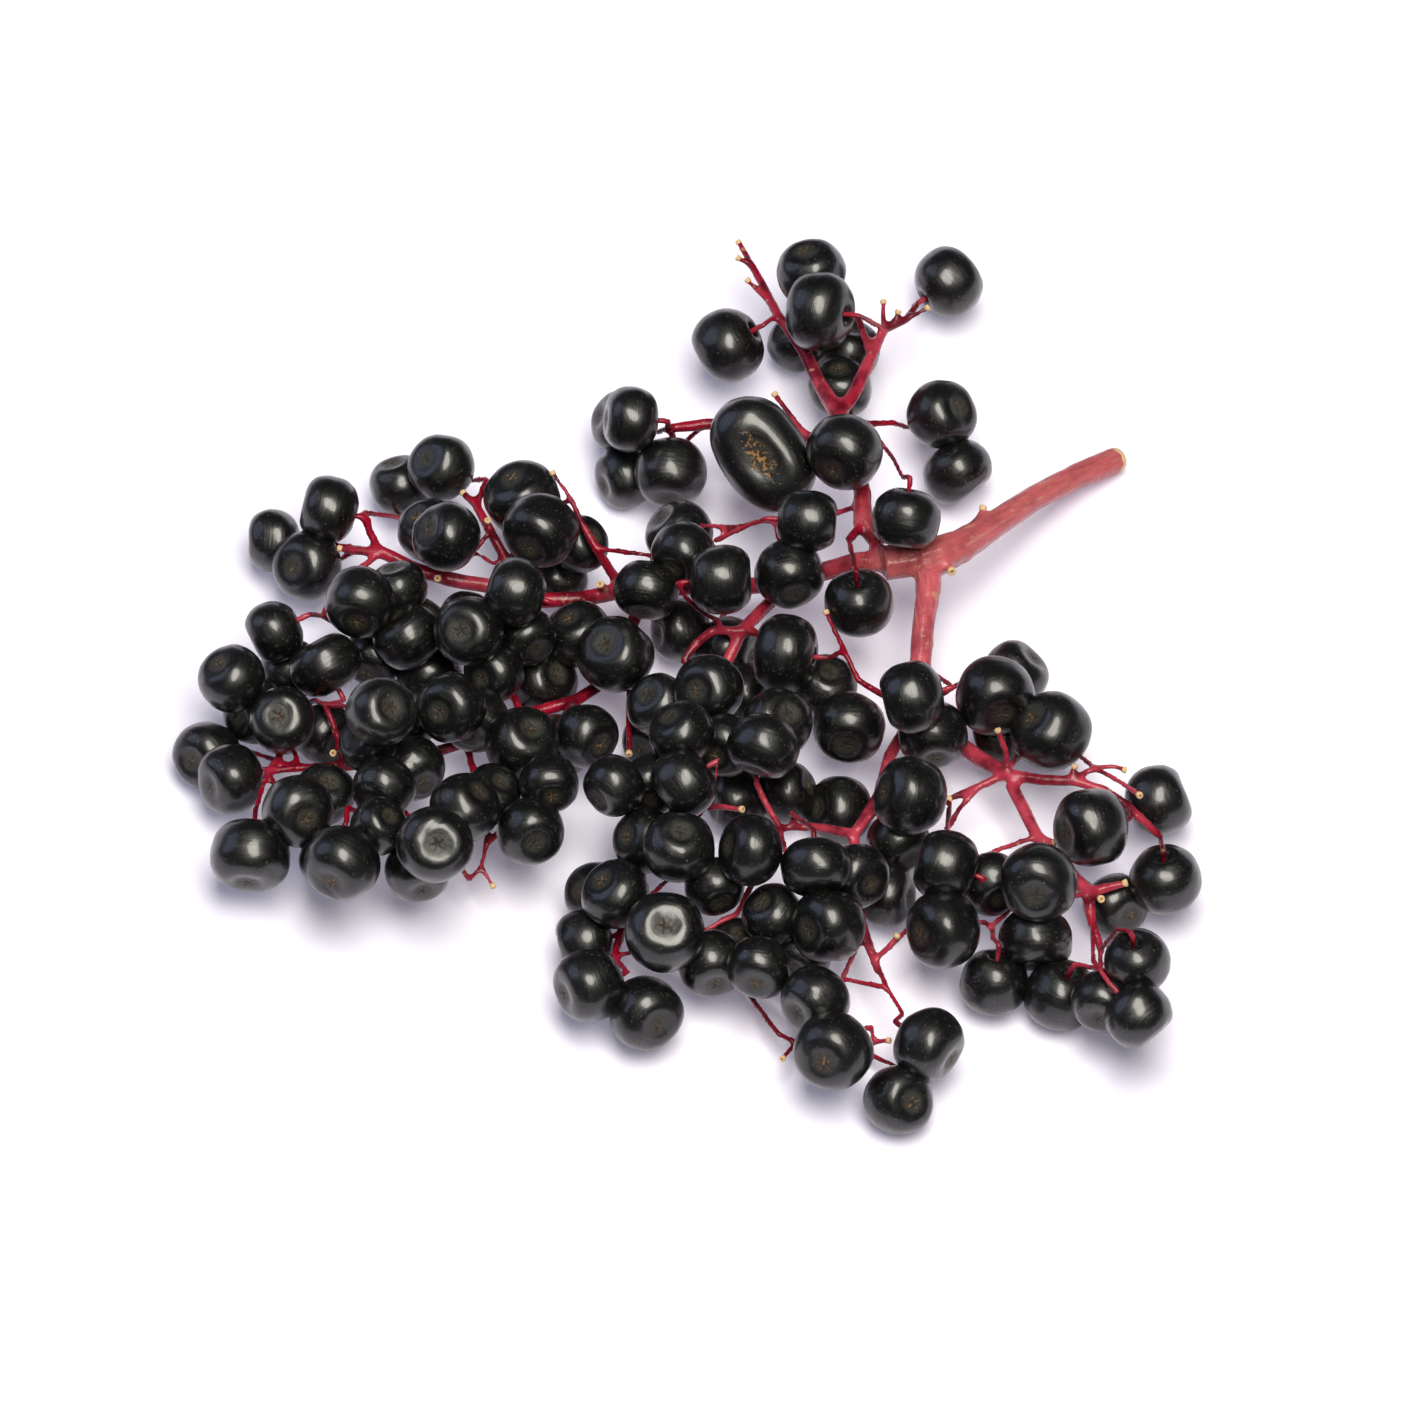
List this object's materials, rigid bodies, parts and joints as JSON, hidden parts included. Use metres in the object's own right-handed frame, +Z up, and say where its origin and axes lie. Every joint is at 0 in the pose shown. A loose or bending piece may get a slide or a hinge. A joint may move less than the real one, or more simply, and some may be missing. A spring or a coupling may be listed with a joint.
{
  "type": "elderberry cluster",
  "caption": "A ripe head of black elderberries picked with its branching crimson stalks, lying face up on a table.",
  "frame": {"origin": "centre of the bounding box, on the table that the cluster lies on", "axes": "+Z up from the table, +X to the cluster's right as seen from its front, and the stalk's cut end at the back right"},
  "size_m": [0.1024, 0.1078, 0.0209],
  "materials": {
    "berry_skin": "ripe black elderberry skin, satin gloss",
    "main_stalk": "fresh dusky red stalk, satin",
    "rays": "fresh crimson stalks, satin"
  },
  "bodies": {
    "root": {"berries_left_tip_1": "berry_skin", "berries_left_tip_2": "berry_skin", "berries_left_tip_3": "berry_skin", "berries_left_tip_4": "berry_skin", "berries_left_1": "berry_skin", "berries_left_2": "berry_skin", "berries_left_3": "berry_skin", "berries_left_4": "berry_skin", "berries_left_5": "berry_skin", "berries_left_6": "berry_skin", "berries_left_7": "berry_skin", "berries_left_8": "berry_skin", "berries_left_low_1": "berry_skin", "berries_left_low_2": "berry_skin", "berries_left_low_3": "berry_skin", "berries_left_low_4": "berry_skin", "berries_left_low_5": "berry_skin", "berries_top_1": "berry_skin", "berries_top_2": "berry_skin", "berries_top_3": "berry_skin", "berries_top_4": "berry_skin", "berries_top_5": "berry_skin", "berries_top_6": "berry_skin", "berries_top_7": "berry_skin", "berries_top_8": "berry_skin", "berry_twin": "berry_skin", "berries_middle_1": "berry_skin", "berries_middle_2": "berry_skin", "berries_middle_3": "berry_skin", "berries_middle_4": "berry_skin", "berries_middle_5": "berry_skin", "berries_middle_6": "berry_skin", "berries_middle_7": "berry_skin", "berries_middle_8": "berry_skin", "berries_middle_9": "berry_skin", "berries_bottom_1": "berry_skin", "berries_bottom_2": "berry_skin", "berries_bottom_3": "berry_skin", "berries_bottom_4": "berry_skin", "berries_bottom_5": "berry_skin", "berries_bottom_6": "berry_skin", "berries_bottom_7": "berry_skin", "berries_bottom_8": "berry_skin", "berries_right_1": "berry_skin", "berries_right_2": "berry_skin", "berries_right_3": "berry_skin", "berries_right_4": "berry_skin", "berries_right_5": "berry_skin", "berries_right_6": "berry_skin", "berries_right_7": "berry_skin", "berries_right_8": "berry_skin", "stalk": "main_stalk", "ray_front": "rays", "ray_right": "rays", "ray_right_low": "rays", "ray_left": "rays", "ray_left_low": "rays", "ray_top": "rays", "ray_middle": "rays", "ray_bottom": "rays"}
  },
  "joints": []
}
